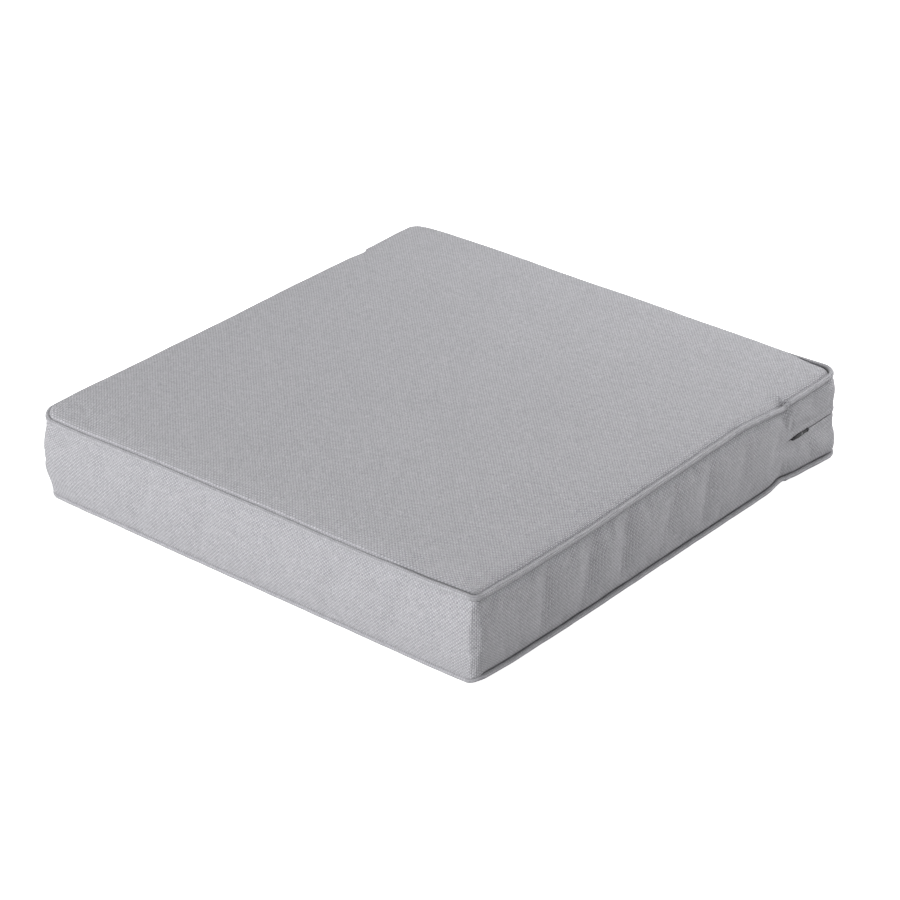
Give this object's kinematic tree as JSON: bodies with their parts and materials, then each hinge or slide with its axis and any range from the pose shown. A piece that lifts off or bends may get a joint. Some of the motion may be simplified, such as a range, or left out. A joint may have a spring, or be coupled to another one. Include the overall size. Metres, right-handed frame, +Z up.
{
  "type": "kneeling pad",
  "caption": "Boxed foam cushion in woven fabric, piped round both faces, with a lapped zip round the back whose slider and pull tab move.",
  "frame": {"origin": "middle of the underside, on the surface that the cushion lies on", "axes": "+Z up, +Y towards the zip at the back, +X towards the side with the zip's slider"},
  "size_m": [0.6, 0.625, 0.104],
  "materials": {
    "cover_fabric": "light grey heathered basket weave, matt",
    "piping_fabric": "the same fabric cut on the bias, matt",
    "piping_cord": "soft filler cord",
    "wadding": "white polyester fibre",
    "foam": null,
    "zip_tape": "woven grey tape",
    "zip_coil": "grey nylon coil",
    "zip_metal": "black enamel, slightly worn to bright metal on the edges",
    "thread": "grey polyester sewing thread"
  },
  "bodies": {
    "cushion": {"foam_core": "foam", "wadding_top": "wadding", "wadding_bottom": "wadding", "wadding_edge": "wadding", "top_panel": "cover_fabric", "bottom_panel": "cover_fabric", "boxing_band": "cover_fabric", "zip_band_upper": "cover_fabric", "zip_band_lower": "cover_fabric", "top_piping_cover": "piping_fabric", "top_piping_cord": "piping_cord", "bottom_piping_cover": "piping_fabric", "bottom_piping_cord": "piping_cord", "zip_tape_upper": "zip_tape", "zip_tape_lower": "zip_tape", "zip_coil_upper": "zip_coil", "zip_coil_lower": "zip_coil", "zip_top_stops": "zip_metal", "zip_end_staple": "zip_metal", "top_seam_thread": "thread", "bottom_seam_thread": "thread", "join_seam_thread": "thread", "zip_topstitch_upper": "thread", "zip_topstitch_lower": "thread", "zip_bar_tacks": "thread"},
    "slider": {"zip_slider": "zip_metal"},
    "puller": {"zip_puller": "zip_metal"}
  },
  "joints": [
    {"name": "zip_slide", "type": "slide", "parent": "cushion", "child": "slider", "axis": [0, 1, 0], "range_m": [0, 0.05], "deforming": ["zip_coil_upper", "zip_coil_lower"]},
    {"name": "puller_pivot", "type": "hinge", "parent": "slider", "child": "puller", "pos_m": [0.298, 0.2285, 0.05], "axis": [0, 0, -1], "range_deg": [0, 180]}
  ]
}
